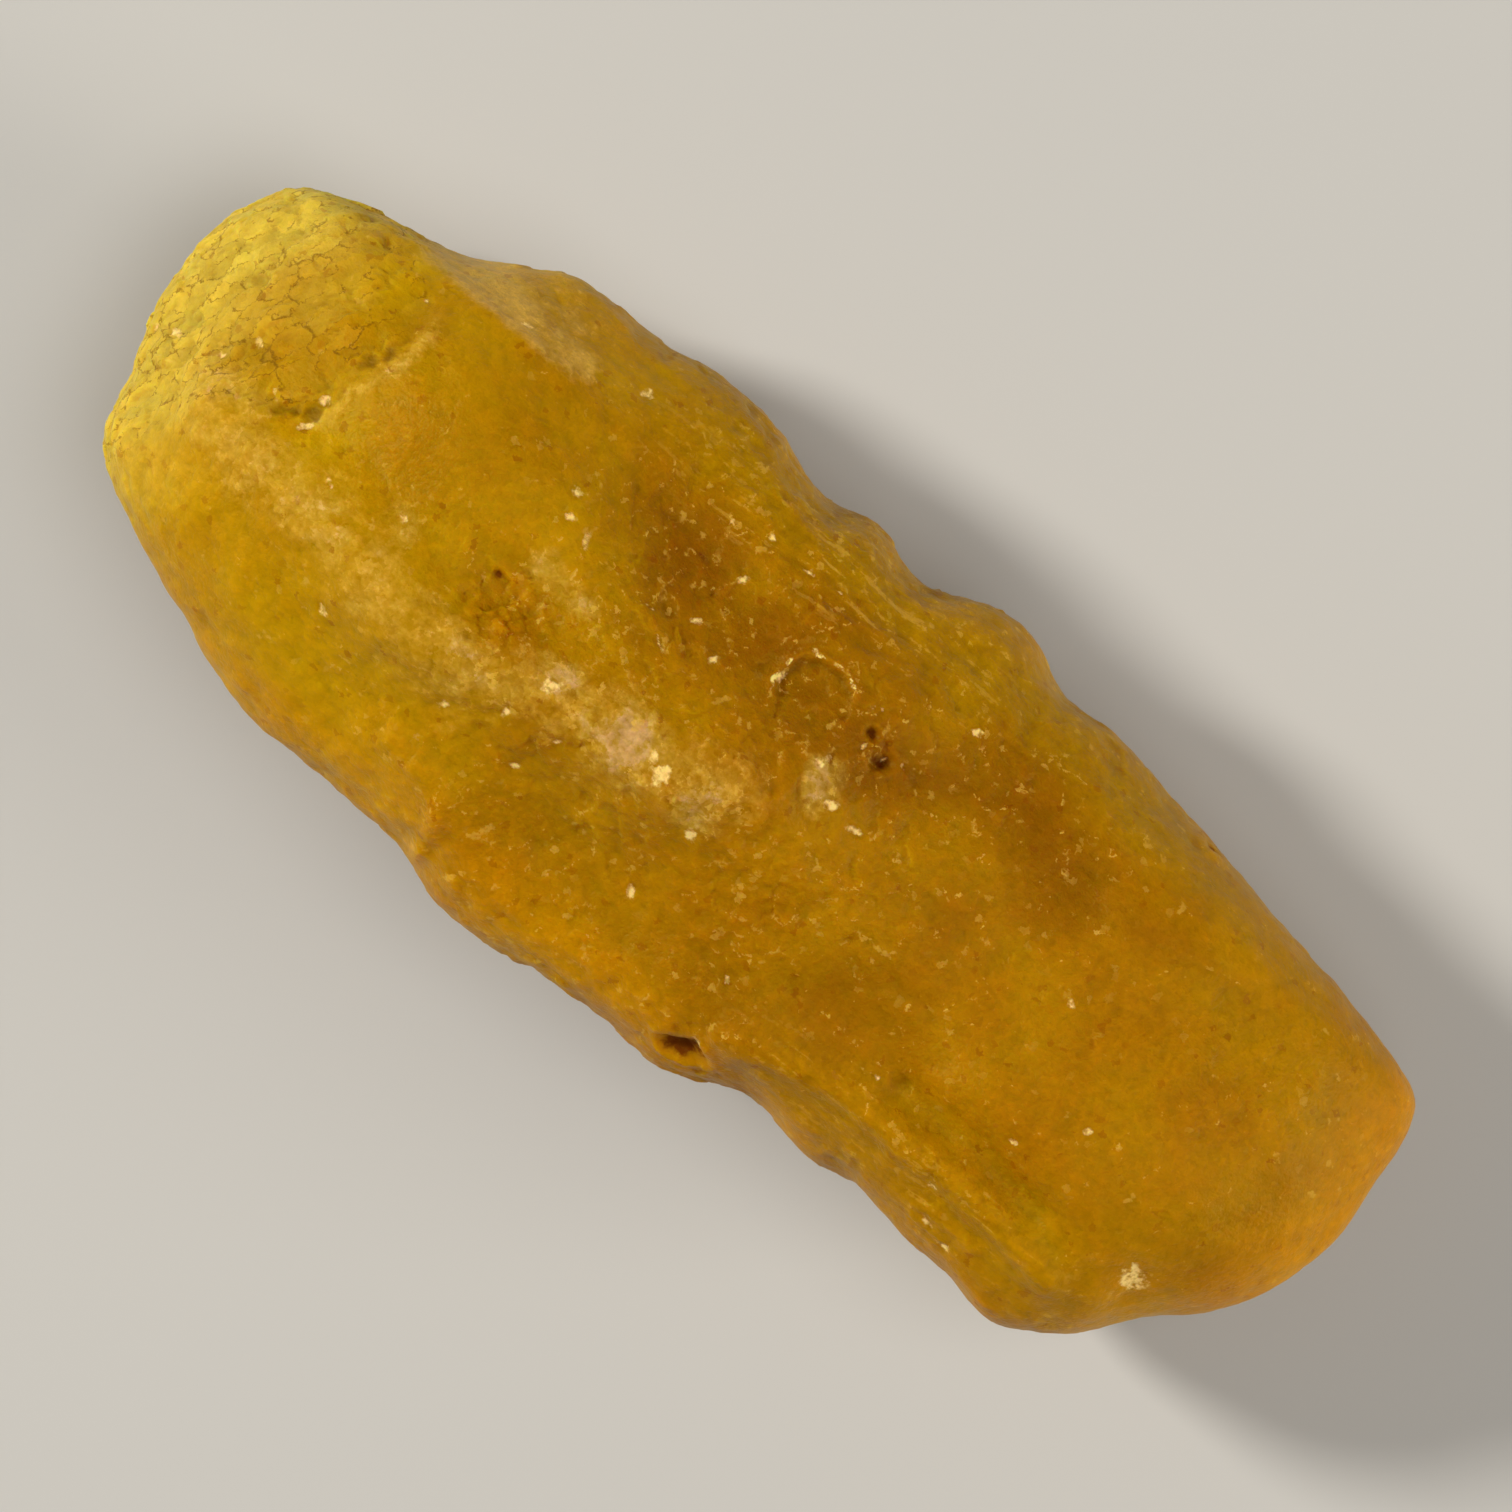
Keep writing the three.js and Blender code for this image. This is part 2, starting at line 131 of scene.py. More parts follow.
CHIPS = [  # x, y, half length, half width, turn
    (-13.0, 9.6, 0.5, 0.3, 30), (-12.7, 4.6, 0.5, 0.35, 10), (-12.3, 3.6, 0.3, 0.25, 0),
    (-11.0, 3.3, 0.55, 0.2, -55), (-17.4, -0.9, 0.5, 0.22, -20), (-20.6, -1.9, 0.35, 0.15, -40),
    (-8.3, -2.3, 0.6, 0.42, 40), (-2.4, -2.2, 0.62, 0.52, 20), (-3.1, -1.7, 0.3, 0.2, -30),
    (-6.5, -3.8, 0.35, 0.25, 70), (-9.0, -4.3, 0.3, 0.4, 20), (-7.3, -5.9, 0.4, 0.2, 35),
    (-1.2, 4.3, 0.28, 0.4, -20), (-0.8, 5.95, 0.35, 0.2, 30), (3.9, 1.5, 0.4, 0.3, 20),
    (5.4, 1.3, 0.45, 0.22, 10), (5.1, 4.6, 0.4, 0.2, -20), (2.6, 5.7, 0.35, 0.2, 60),
    (-5.9, 2.0, 0.45, 0.15, -30), (-7.1, 3.0, 0.4, 0.15, 10), (-5.4, 3.8, 0.35, 0.2, 40),
    (-3.8, 3.0, 0.3, 0.45, 10), (-5.0, 6.5, 0.25, 0.4, -20), (-6.9, 7.9, 0.3, 0.15, 40),
    (6.5, 7.7, 0.4, 0.25, 35), (12.7, -6.0, 0.4, 0.2, -15), (16.9, 1.6, 0.25, 0.25, 0),
    (18.2, -9.3, 0.5, 0.2, -35), (19.3, -9.6, 0.45, 0.25, 30), (17.3, -7.9, 0.4, 0.2, 0),
    (18.7, -4.4, 0.35, 0.2, 20), (20.8, -2.0, 0.25, 0.2, 0), (-18.8, 8.6, 0.6, 0.25, 5),
    (-17.5, -6.1, 0.5, 0.25, -20), (-11.2, -5.8, 0.4, 0.25, 20), (6.1, -9.7, 0.45, 0.3, -10),
    (-5.1, 8.4, 0.4, 0.15, -5), (-3.2, 8.35, 0.7, 0.15, 8), (-1.8, 8.4, 0.4, 0.12, 5),
    (-23.0, -0.6, 0.25, 0.4, -30), (-22.6, 6.7, 0.35, 0.2, -50), (2.4, 2.6, 0.5, 0.35, 60),
    (0.2, -3.2, 0.4, 0.3, -60), (-0.2, -6.7, 0.2, 0.4, 30), (5.3, -7.0, 0.35, 0.15, -40),
    (4.4, 4.35, 0.18, 0.16, 0), (2.9, 5.9, 0.3, 0.14, -20), (3.3, 4.2, 0.16, 0.3, 0),
    (-30.6, -1.6, 0.3, 0.2, 60), (-29.8, -1.2, 0.3, 0.3, 0), (-26.9, 0.8, 0.6, 0.3, -40),
    (-24.9, -0.4, 0.45, 0.25, -35), (-23.2, 0.7, 0.25, 0.35, 0), (-27.6, -0.6, 0.3, 0.25, 20),
]
FINE_ZONES = [  # where the mesh is twice as fine: x, y, half length, half width
    (-26.8, 1.0, 5.6, 9.5), (-11.9, -1.0, 3.0, 2.6), (-3.0, 0.5, 11.0, 7.5), (4.0, 4.5, 2.6, 2.0),
    (26.3, -5.6, 1.3, 1.2), (5.8, -10.2, 1.8, 1.6), (18.6, -8.6, 1.8, 1.4),
]


# Profiles

def smooth(value, low, high):
    share = np.clip((value - low) / (high - low), 0, 1)
    return share * share * (3 - 2 * share)


def bell(distance):
    return np.exp(-distance * distance)


class Skin:
    """The points of the lump's skin, with what lifts each one and what marks its colour."""

    def __init__(self, mesh):
        count = len(mesh.vertices)
        flat = np.empty(count * 3)
        mesh.vertices.foreach_get("co", flat)
        self.place = flat.reshape(-1, 3) / MM
        mesh.vertices.foreach_get("normal", flat)
        self.normal = flat.reshape(-1, 3).copy()
        self.facing = self.normal[:, 2]  # 1 straight up, -1 straight down
        self.up = smooth(self.facing, -0.1, 0.35)
        self.z = self.place[:, 2].copy()
        # x and y are where the view from above sees a point, at the height of the rim
        spread = VIEW_DISTANCE / (VIEW_DISTANCE + RIM_LEVEL - self.z)
        self.x, self.y = (
            middle + (self.place[:, axis] - middle) * spread for axis, middle in enumerate(VIEW_MIDDLE)
        )
        self.lift = np.zeros(count)
        self.marks = {}

    def drawn_out(self, size, shift, stretch, turn):
        """The points in units of a pattern that is drawn out along one way."""
        cos, sin = math.cos(math.radians(turn)), math.sin(math.radians(turn))
        along = (self.x * cos + self.y * sin) / (size * stretch) + shift
        across = (self.y * cos - self.x * sin) / size + SHIFT_ACROSS * shift
        height = self.z / size + SHIFT_UP * shift
        return [Vector(point) for point in zip(along, across, height)]

    def noise(self, size, shift, detail=2, stretch=1.0, turn=0.0):
        """Perlin noise, about -1 to 1, of a size in millimetres. Its shift keeps it off the others."""
        points = self.drawn_out(size, shift, stretch, turn)
        return np.array([noise.fractal(point, OCTAVE_FADE, OCTAVE_STEP, detail) for point in points])

    def flakes(self, size, shift, stretch=1.0, turn=0.0):
        """Flat facets, each with a tilt of its own: their height, -1 to 1, and the gap to the border."""
        height, gap = [], []
        for point in self.drawn_out(size, shift, stretch, turn):
            distances, centres = noise.voronoi(point)
            tilt = noise.cell_vector(centres[0]) - Vector((0.5, 0.5, 0.5))
            height.append(2 * tilt.dot(point - centres[0]) + tilt.z)
            gap.append(distances[1] - distances[0])
        return np.array(height), np.array(gap)

    def ridges(self, size, shift, stretch, turn):
        """Sharp ridges between soft folds, 0 to 1."""
        folds = self.noise(size, shift, stretch=stretch, turn=turn)
        return 1 - np.minimum(1, FOLD_STEEPNESS * np.abs(folds))

    def spot(self, x, y, along, across, turn=0.0):
        """Distance from a place, in its half length and half width."""
        angle = math.radians(turn)
        dx, dy = self.x - x, self.y - y
        u = (dx * math.cos(angle) + dy * math.sin(angle)) / along
        v = (dy * math.cos(angle) - dx * math.sin(angle)) / across
        return np.hypot(u, v)

    def dent(self, x, y, along, across, turn=0.0):
        """The same for a small place, where steep skin far below it counts as away from it."""
        away = self.spot(x, y, along, across, turn)
        level = self.z[away < 1.5].max()
        return np.hypot(away, np.maximum(0, level - self.z - 2 * across) / across)

    def path(self, points):
        """Distance from a path in millimetres."""
        nearest = np.full(len(self.x), np.inf)
        for (ax, ay), (bx, by) in zip(points, points[1:]):
            dx, dy = bx - ax, by - ay
            share = np.clip(((self.x - ax) * dx + (self.y - ay) * dy) / (dx * dx + dy * dy), 0, 1)
            nearest = np.minimum(nearest, np.hypot(self.x - ax - share * dx, self.y - ay - share * dy))
        return nearest

    def mark(self, name, amount):
        """Raises one of the colour marks to an amount, where it is lower."""
        before = self.marks.get(name, np.zeros(len(self.x)))
        self.marks[name] = np.clip(np.maximum(before, amount), 0, 1)

    def write(self, mesh):
        """Moves the mesh's points to the sculpted skin and leaves the marks on it."""
        moved = self.place + self.normal * self.lift[:, None]
        mesh.vertices.foreach_set("co", (moved * MM).ravel())
        for name, amount in self.marks.items():
            layer = mesh.attributes.new(name, "FLOAT", "POINT")
            layer.data.foreach_set("value", amount)
        mesh.update()


# What weather and breaking left on the lump, and the painted sheen, shade and glow

def forms(skin):
    """The soft crest, the valley below it and the hollow above it."""
    drift = 0.6 * skin.noise(3.0, shift=27)
    raised = 0.42 - 0.22 * bell((skin.x + 8.5) / 2.5)
    skin.lift += raised * bell((skin.path(CREST) + drift) / CREST_HALF_WIDTH) * skin.up
    skin.lift -= 0.4 * raised * bell((skin.path(VALLEY) + drift) / CREST_HALF_WIDTH) * skin.up
    skin.lift -= 0.4 * bell(skin.spot(*HOLLOW)) * skin.up


def weathering(skin):
    """Slow swells, soft dimples and small leathery scales, roughest around the middle."""
    middle = bell((skin.x + 1.5) / 15) * (1 - bell(skin.spot(*SMOOTH_BULGE)))
    for x, y, along, across, amount in SCUFFED_PATCHES:
        middle += amount * bell(skin.spot(x, y, along, across))
    scuffed = np.clip(0.1 + 0.7 * middle + 0.35 * skin.noise(4.0, shift=8), 0, 1)
    skin.mark("scuffed", scuffed)
    skin.lift += 0.12 * skin.noise(3.4, shift=1)
    scales = skin.flakes(1.1, shift=4, stretch=1.5, turn=-50)[0]
    roughness = 0.03 + 0.05 * scuffed
    skin.lift += roughness * scales
    skin.lift += roughness * skin.noise(0.8, shift=4)
    dimples = smooth(skin.noise(1.7, shift=7), 0.2, 0.65)
    skin.lift -= (0.05 + 0.09 * scuffed) * dimples


def broken_end(skin):
    """The crazed break of the left end: slanting flakes with fissures between, a crevice and its lip,
    with painted shade in the fissures and the crevice and a painted highlight on the lip.
    """
    ys, xs = zip(*BROKEN_EDGE)
    edge = np.interp(skin.y, ys, xs) + 0.4 * skin.noise(1.6, shift=9)
    crazed = smooth(edge - skin.x, -0.3, 0.6)
    height, gap = skin.flakes(1.05, shift=2, stretch=2.1, turn=56)
    fissures = (1 - smooth(gap, 0.0, 0.12)) * smooth(skin.noise(1.6, shift=17), -0.25, 0.15)
    folds = skin.noise(2.0, shift=14, stretch=2.0, turn=56)
    skin.lift += crazed * (0.1 * height - 0.07 * fissures + 0.1 * folds)
    skin.mark("crazed", crazed)
    # dark fissures between the flakes, partly painted shade
    skin.mark("cracks_and_shade", 0.25 * crazed * fissures)
    crevice = skin.path(CREVICE) + 0.4 * skin.noise(0.8, shift=18, detail=3)
    broken_off = smooth(skin.noise(1.3, shift=19), -0.3, 0.2)
    skin.lift -= 0.16 * bell(crevice / 0.24) * skin.up * (0.4 + 0.6 * broken_off)
    # painted shade in the crevice
    skin.mark("cracks_and_shade", (1.0 - crevice / 0.3) * skin.up * broken_off)
    lip = np.abs(skin.x - edge - 0.7)
    beside = smooth(skin.y, -1.6, 0.2) * (1 - smooth(skin.y, 5.5, 7.0)) * skin.up
    skin.lift += 0.12 * bell(lip / 0.5) * beside
    # painted highlight on the lip, as pale bloom
    skin.mark("bloom_and_sheen", 0.6 * bell(lip / 0.4) * beside)


def milky_bloom_and_sheen(skin):
    """Milky bloom on the crest and in a few patches, partly painted sheen, and a band of painted sheen
    on the upper left edge.
    """
    drift = skin.noise(1.9, shift=5, detail=4)
    # painted sheen along the crest, as pale bloom
    crest = 0.5 * smooth(2.4 - skin.path(CREST) + drift, -0.2, 2.4)
    skin.mark("bloom_and_sheen", crest * skin.up)
    # a pale band along the upper left edge: painted sheen
    band = smooth(skin.y + 0.12 * drift, 7.5, 8.2) * (1 - 0.6 * smooth(skin.y + 0.5 * drift, 8.6, 10.4))
    band *= smooth(skin.x, -28.5, -25) * (1 - smooth(skin.x + 2.5 * drift, -20, -13))
    skin.mark("bevel_sheen", band * smooth(skin.z + drift, 4.0, 7.5))
    arris = 0.14 * bell((skin.y - 7.9) / 0.35) * smooth(skin.x, -27, -25)
    skin.lift += arris * (1 - smooth(skin.x, -17, -14))
    # bloom patches; along the crest they are partly painted sheen
    for x, y, along, across, turn, amount in BLOOM_AND_SHEEN_PATCHES:
        near = 1 - skin.spot(x, y, along, across, turn) + 0.5 * drift
        skin.mark("bloom_and_sheen", amount * smooth(near, -0.2, 0.9) * skin.up)
    streaks = skin.ridges(0.7, shift=6, stretch=2.6, turn=-28)
    skin.lift += skin.marks["bloom_and_sheen"] * (0.07 * skin.noise(0.6, shift=6) + 0.08 * (streaks - 0.5))


def russet_shade_and_glow(skin):
    """Where the amber shows deeper russet, with painted shade in the hollow and the trough, where it
    leans to olive, and a painted glow at thin edges, on the lump and along the flute.
    """
    drift = 0.5 * skin.noise(3.0, shift=12, detail=3)
    drawn = 0.35 + 0.65 * skin.up
    # painted shade in the hollow and along the trough; the patches below are a deeper russet tone
    skin.mark("russet_and_shade", 0.85 * smooth(1.5 - skin.spot(*HOLLOW_SHADE) + drift, 0, 1.5) * drawn)
    skin.mark("russet_and_shade", 0.7 * smooth(4.2 - skin.path(TROUGH) + 3 * drift, 0, 4.0) * drawn)
    for x, y, along, across, amount in RUSSET_PATCHES:
        near = 1.5 - skin.spot(x, y, along, across) + drift
        skin.mark("russet_and_shade", amount * smooth(near, 0, 1.5) * drawn)
    flank = smooth(skin.y + 1.5 * drift, 7.4, 9.4) * smooth(skin.x, -17, -8)
    flank *= 0.3 + 0.7 * smooth(skin.z + 3 * drift, 3.0, 8.0)
    skin.mark("olive", flank * (1 - 0.6 * smooth(skin.x, 14, 26)))
    skin.mark("olive", 0.65 * smooth(1.4 - skin.spot(*FLUTE_SHADE) + drift, 0, 0.9) * skin.up)
    skin.mark("olive", 0.6 * smooth(1.3 - skin.spot(*RIGHT_SHADE) + drift, 0, 0.9) * skin.up)
    # painted glow: on the thin edges of the right end and the lower side, on the small lump and along
    # the flute
    rim = smooth(skin.x, 27.5, 30.5) + 0.8 * smooth(-skin.y - 0.04 * np.abs(skin.x), 8.3, 9.8)
    skin.mark("painted_glow", (rim + drift) * smooth(skin.facing, -0.4, 0.1))
    skin.mark("painted_glow", bell(skin.spot(*PIT_LUMP_GLOW)) * skin.up)
    skin.mark("painted_glow", 0.4 * smooth(1.3 - skin.spot(*FLUTE_GLOW) + 0.6 * drift, 0, 0.6) * skin.up)


def pits(skin):
    """The crusted cluster of pits with the small lump in it and a painted glow on it, and the holes."""
    crust = smooth(1.25 - skin.spot(*PIT_CLUSTER), 0, 0.8) * skin.up
    lumps, gap = skin.flakes(0.75, shift=15)
    seams = 1 - smooth(gap, 0, 0.25)
    skin.lift += crust * (0.16 * lumps - 0.08 * seams + 0.1 * skin.noise(0.6, shift=15))
    skin.mark("stain", 0.44 * crust * seams)
    # painted glow on the crust
    skin.mark("painted_glow", 0.6 * crust)
    skin.lift += 0.24 * bell(skin.spot(*PIT_LUMP)) * skin.up
    ragged = 0.25 * skin.noise(0.7, shift=16)
    for x, y, along, across, turn, depth, stain in HOLES:
        away = skin.dent(x, y, along, across, turn) + ragged
        skin.lift += depth * (0.35 * bell((away - 1.7) / 0.5) - bell(away)) * skin.up
        skin.mark("stain", stain * (1.5 - 0.75 * away) * skin.up)


def scar(skin):
    """A round shallow scar, with a raised and partly broken rim on its upper left and a painted shadow
    inside that rim.
    """
    away = skin.spot(*SCAR) + 0.1 * skin.noise(0.8, shift=22)
    inside = 1 - smooth(away, 0.8, 1.0)
    upper_left = smooth((skin.y - SCAR[1]) - 0.8 * (skin.x - SCAR[0]), -0.6, 1.0) * skin.up
    skin.lift -= 0.22 * inside * (0.2 + 0.8 * upper_left)
    skin.lift += 0.16 * bell((away - 1.08) / 0.12) * upper_left
    broken_off = smooth(skin.noise(0.7, shift=25), -0.3, 0.3)
    skin.mark("chip", 0.9 * bell((away - 1.05) / 0.08) * upper_left * broken_off)
    # painted shadow just inside the scar's raised rim
    skin.mark("cracks_and_shade", 0.75 * bell((away - 0.9) / 0.07) * upper_left * (1 - 0.6 * broken_off))


def bruise(skin):
    """A pale bruise shaped like a star, near the right end, with a painted glow round it."""
    away = skin.dent(*BRUISE)
    bearing = np.arctan2(skin.y - BRUISE[1], skin.x - BRUISE[0])
    rays = np.cos(6 * bearing + 3 * skin.noise(0.9, shift=3.3))
    star = smooth(1.3 - away + 0.12 * rays + 0.3 * skin.noise(0.5, shift=26), 0, 1.3) * skin.up
    skin.lift -= 0.12 * star
    skin.mark("chip", 0.92 * star)
    # painted glow round the bruise
    skin.mark("painted_glow", 0.8 * smooth(1.8 - away + 0.3 * rays, 0, 1.2) * skin.up)


def chips(skin):
    """The larger pale chips that catch the light."""
    ragged = 0.5 * skin.noise(0.6, shift=24)
    for x, y, along, across, turn in CHIPS:
        away = skin.dent(x, y, along, across, turn) + ragged
        skin.lift -= 0.06 * (1 - smooth(away, 0.5, 1.2)) * skin.up
        skin.mark("chip", (1.6 - away) * 0.62 * skin.up)


def runs(skin):
    """The lip of the lower left lobe, the flute of the lower right and the streaks along both edges."""
    skin.lift += 0.3 * bell(skin.path(LOBE_LIP) / 0.5) * skin.up
    skin.lift += 0.38 * bell(skin.path(FLUTE_RIDGE) / 0.6) * skin.up
    skin.lift -= 0.44 * bell(skin.path(FLUTE_GROOVE) / 0.7) * skin.up
    streaks = skin.ridges(0.8, shift=21, stretch=6.0, turn=4)
    upper = smooth(skin.y, 6.8, 8.0) * (1 - smooth(skin.y, 9.8, 10.8)) * bell((skin.x + 1) / 10)
    lower = bell((skin.y + 8.2) / 1.6) * smooth(skin.x, 5, 10) * (1 - smooth(skin.x, 23, 26))
    drawn = np.maximum(upper, 0.8 * lower) * skin.up
    skin.lift += 0.13 * drawn * (streaks - 0.5)
    skin.mark("streaked", drawn)


def worn_back(skin):
    """The back: rougher crust with small holes and a few long cracks."""
    under = smooth(-skin.facing, 0.0, 0.5)
    plates, gap = skin.flakes(3.2, shift=33, stretch=1.5, turn=20)
    skin.lift += under * (0.1 * plates + 0.12 * skin.noise(1.8, shift=31, detail=3))
    cracks = (1 - smooth(gap, 0.0, 0.06)) * smooth(skin.noise(6.0, shift=35), -0.1, 0.2)
    skin.lift -= under * 0.15 * cracks
    skin.mark("cracks_and_shade", 0.8 * under * cracks)
    holes = smooth(skin.noise(1.3, shift=37, detail=1), 0.5, 0.75) * under
    skin.lift -= 0.22 * holes
    skin.mark("stain", 0.5 * holes)
    # on the back the bloom mark and the russet mark are tone only
    skin.mark("bloom_and_sheen", 0.5 * under * smooth(skin.noise(4.5, shift=39, detail=3), 0.0, 0.5))
    skin.mark("russet_and_shade", 0.6 * under * smooth(skin.noise(6.5, shift=41), -0.1, 0.4))


def keep_resting_face(skin):
    """Holds the relief near the highest point and above the resting face, whose patches stay flat."""
    headroom = (skin.z.max() - skin.z) / np.maximum(skin.facing, LEANS_UP) + TOP_RELIEF
    skin.lift = np.where(skin.facing > LEANS_UP, np.minimum(skin.lift, headroom), skin.lift)
    flat = 1 - smooth(skin.z, 0.02, FLAT_BELOW)
    flat *= smooth(-skin.facing, 0.6, 0.95)
    skin.lift *= 1 - flat
    leans_down = skin.facing < -0.05
    room = skin.z[leans_down] / -skin.facing[leans_down]
    skin.lift[leans_down] = np.minimum(skin.lift[leans_down], room)


# The piece

def rounded_copy(node):
    """A copy of a frame node as one smooth skin of even four-sided cells."""
    shape = bmesh.new()
    shape.from_mesh(node.data)
    bmesh.ops.remove_doubles(shape, verts=shape.verts, dist=SAME_PLACE)
    bmesh.ops.join_triangles(
        shape, faces=shape.faces, angle_face_threshold=math.pi, angle_shape_threshold=math.pi
    )
    mesh = bpy.data.meshes.new("amber_rough")
    shape.to_mesh(mesh)
    shape.free()
    rough = bpy.data.objects.new("amber_rough", mesh)
    bpy.context.collection.objects.link(rough)
    rounding = rough.modifiers.new("rounding", "SUBSURF")
    rounding.levels = SUBDIVISIONS
    rounding.render_levels = SUBDIVISIONS
    depsgraph = bpy.context.evaluated_depsgraph_get()
    mesh = bpy.data.meshes.new_from_object(rough.evaluated_get(depsgraph))
    bpy.data.objects.remove(rough)
    mesh.name = "amber_skin"
    return mesh


def refine(mesh):
    """Halves the cells of the upper side in the fine zones."""
    shape = bmesh.new()
    shape.from_mesh(mesh)
    edges = set()
    for face in shape.faces:
        x, y, _ = face.calc_center_median() / MM
        inside = any(
            math.hypot((x - middle_x) / along, (y - middle_y) / across) < 1
            for middle_x, middle_y, along, across in FINE_ZONES
        )
        if inside and face.normal.z > UPPER_SIDE:
            edges.update(face.edges)
    bmesh.ops.subdivide_edges(shape, edges=list(edges), cuts=1, use_grid_fill=True)
    shape.to_mesh(mesh)
    shape.free()


def amber_piece():
    mesh = rounded_copy(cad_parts["amber"])
    refine(mesh)
    skin = Skin(mesh)
    forms(skin)
    weathering(skin)
    broken_end(skin)
    milky_bloom_and_sheen(skin)
    russet_shade_and_glow(skin)
    pits(skin)
    scar(skin)
    bruise(skin)
    chips(skin)
    runs(skin)
    worn_back(skin)
    keep_resting_face(skin)
    skin.write(mesh)
    mesh.polygons.foreach_set("use_smooth", [True] * len(mesh.polygons))
    piece = bpy.data.objects.new("amber_lump", mesh)
    bpy.context.collection.objects.link(piece)
    return piece


# Shader maths as expressions

class Amount:
    """A value that varies over the surface. Sums and products on it add Math nodes."""

    def __init__(self, recipe, socket):
        self.recipe = recipe
        self.socket = socket

    def maths(self, operation, first, second=0.0, clamp=False):
        settings = {"operation": operation, "use_clamp": clamp}
        return self.recipe.add("Math", settings, {0: first, 1: second})

    def __add__(self, other):
        return self.maths("ADD", self, other)

    __radd__ = __add__

    def __sub__(self, other):
        return self.maths("SUBTRACT", self, other)

    def __rsub__(self, other):
        return self.maths("SUBTRACT", other, self)

    def __mul__(self, other):
        return self.maths("MULTIPLY", self, other)

    __rmul__ = __mul__

    def step(self, low, high):
        """0 below low and 1 above high, smooth between them."""
        settings = {"interpolation_type": "SMOOTHSTEP"}
        return self.recipe.add("MapRange", settings, {"Value": self, "From Min": low, "From Max": high})

    def within(self):
        """The same amount, kept between 0 and 1."""
        return self.maths("ADD", self, clamp=True)

    def most(self, other):
        """The larger of two amounts."""
        return self.maths("MAXIMUM", self, other)


class Recipe:
    """The nodes of one material."""

    def __init__(self, name):
        self.material = bpy.data.materials.new(name)
        self.material.use_nodes = True
        self.tree = self.material.node_tree
        self.tree.nodes.clear()

    def add(self, kind, settings=None, inputs=None, output=0):
        """Adds a node: its settings first, then the values or links of its sockets."""
        node = self.tree.nodes.new("ShaderNode" + kind)
        for name, value in (settings or {}).items():
            setattr(node, name, value)
        for name, value in (inputs or {}).items():
            if isinstance(value, Amount):
                self.tree.links.new(value.socket, node.inputs[name])
            else:
                node.inputs[name].default_value = value
        return Amount(self, node.outputs[output]) if node.outputs else None

    def millimetres(self):
        """The place on the piece in millimetres."""
        place = self.add("TexCoord", output="Object")
        return self.add("VectorMath", {"operation": "SCALE"}, {0: place, "Scale": 1 / MM})

    def drawn_out(self, place, degrees, stretch):
        """Places for a pattern that is drawn out along one level direction."""
        inputs = {"Vector": place, "Rotation": (0, 0, math.radians(degrees)), "Scale": (stretch, 1, 1)}
        return self.add("Mapping", {"vector_type": "TEXTURE"}, inputs)

    def shifted(self, place, x, y, z):
        """A place moved by an amount of its own along each axis."""
        offset = self.add("CombineXYZ", None, {0: x, 1: y, 2: z})
        return self.add("VectorMath", {"operation": "ADD"}, {0: place, 1: offset})

    def noise(self, place, size, detail=2.0, roughness=0.55):
        """Noise of a size in millimetres, 0 to 1 around 0.5."""
        inputs = {"Vector": place, "Scale": 1 / size, "Detail": detail, "Roughness": roughness}
        return self.add("TexNoise", None, inputs)

    def flakes(self, place, size):
        """Three random amounts, 0 to 1, that are even over each small angular flake."""
        cell = self.add("TexVoronoi", None, {"Vector": place, "Scale": 1 / size}, "Color")
        parts = self.add("SeparateColor", None, {0: cell})
        return [Amount(self, output) for output in parts.socket.node.outputs]

    def borders(self, place, size):
        """Distance in millimetres from the straight borders between cells."""
        inputs = {"Vector": place, "Scale": 1 / size}
        return self.add("TexVoronoi", {"feature": "DISTANCE_TO_EDGE"}, inputs, "Distance") * size

    def mark(self, name):
        """One of the marks that the sculpting left on the mesh."""
        return self.add("Attribute", {"attribute_name": name}, output="Fac")

    def mix(self, share, a, b):
        """From colour a to colour b."""
        return self.add("Mix", {"data_type": "RGBA"}, {0: share, 6: a, 7: b}, 2)


def colour(red, green, blue):
    """A colour as read off a screen, 0 to 255, in the shader's linear values."""
    def linear(value):
        value /= 255
        return value / 12.92 if value <= 0.04045 else ((value + 0.055) / 1.055) ** 2.4
    return (linear(red), linear(green), linear(blue), 1.0)


YOLK = colour(190, 145, 1)  # the body at the broken end
HONEY = colour(168, 111, 0)  # the body from the middle on
RUSSET_SHADE = colour(130, 73, 0)  # clear hollows
# deeper orange, and painted shade in the hollow and the trough
OLIVE = colour(170, 124, 0)
GLOW = colour(206, 138, 0)  # painted glow at thin edges, on the lump, the flute, the crust and round the bruise
STRAW = colour(214, 188, 70)  # the pale tip
CREAM_SHEEN = colour(203, 166, 60)  # thin bloom, and painted sheen on the crest
BLOOM = colour(208, 168, 110)  # thick bloom
# painted sheen on the pale band of the upper left edge
BEVEL_SHEEN = colour(210, 166, 70)
EMBER = colour(140, 62, 0)  # dark flecks
SPECK = colour(222, 176, 68)
# dark cracks, with painted shade in fissures and the crevice and a painted shadow in the scar
FISSURE_SHADE = colour(116, 74, 4)
BROWN = colour(104, 34, 2)  # stained holes
CHIP = colour(250, 216, 130)

# The sizes of the patterns in the amber in millimetres, and how they are drawn out
CLOUD_SIZE = 5.0
MOTTLE_SIZE = 0.7
GRAIN_SIZE = 0.2
FLECK_SIZE = 0.28
SMUDGE_SIZE = 0.9
PLATE_SIZE, PLATE_TURN, PLATE_STRETCH = 0.85, 58, 1.8
STREAK_SIZE, STREAK_TURN, STREAK_STRETCH = 0.4, 3, 7.0

# How the amber takes the light
AMBER_IOR = 1.54
GLOSS_LEVEL = 0.14
GLOSS_TINT = (1.0, 0.76, 0.14, 1.0)
SCATTER_WEIGHT = 0.8
SCATTER_RADIUS = (1.0, 0.5, 0.08)
SCATTER_DEPTH = 2.4
BUMP_DEPTH = 0.16


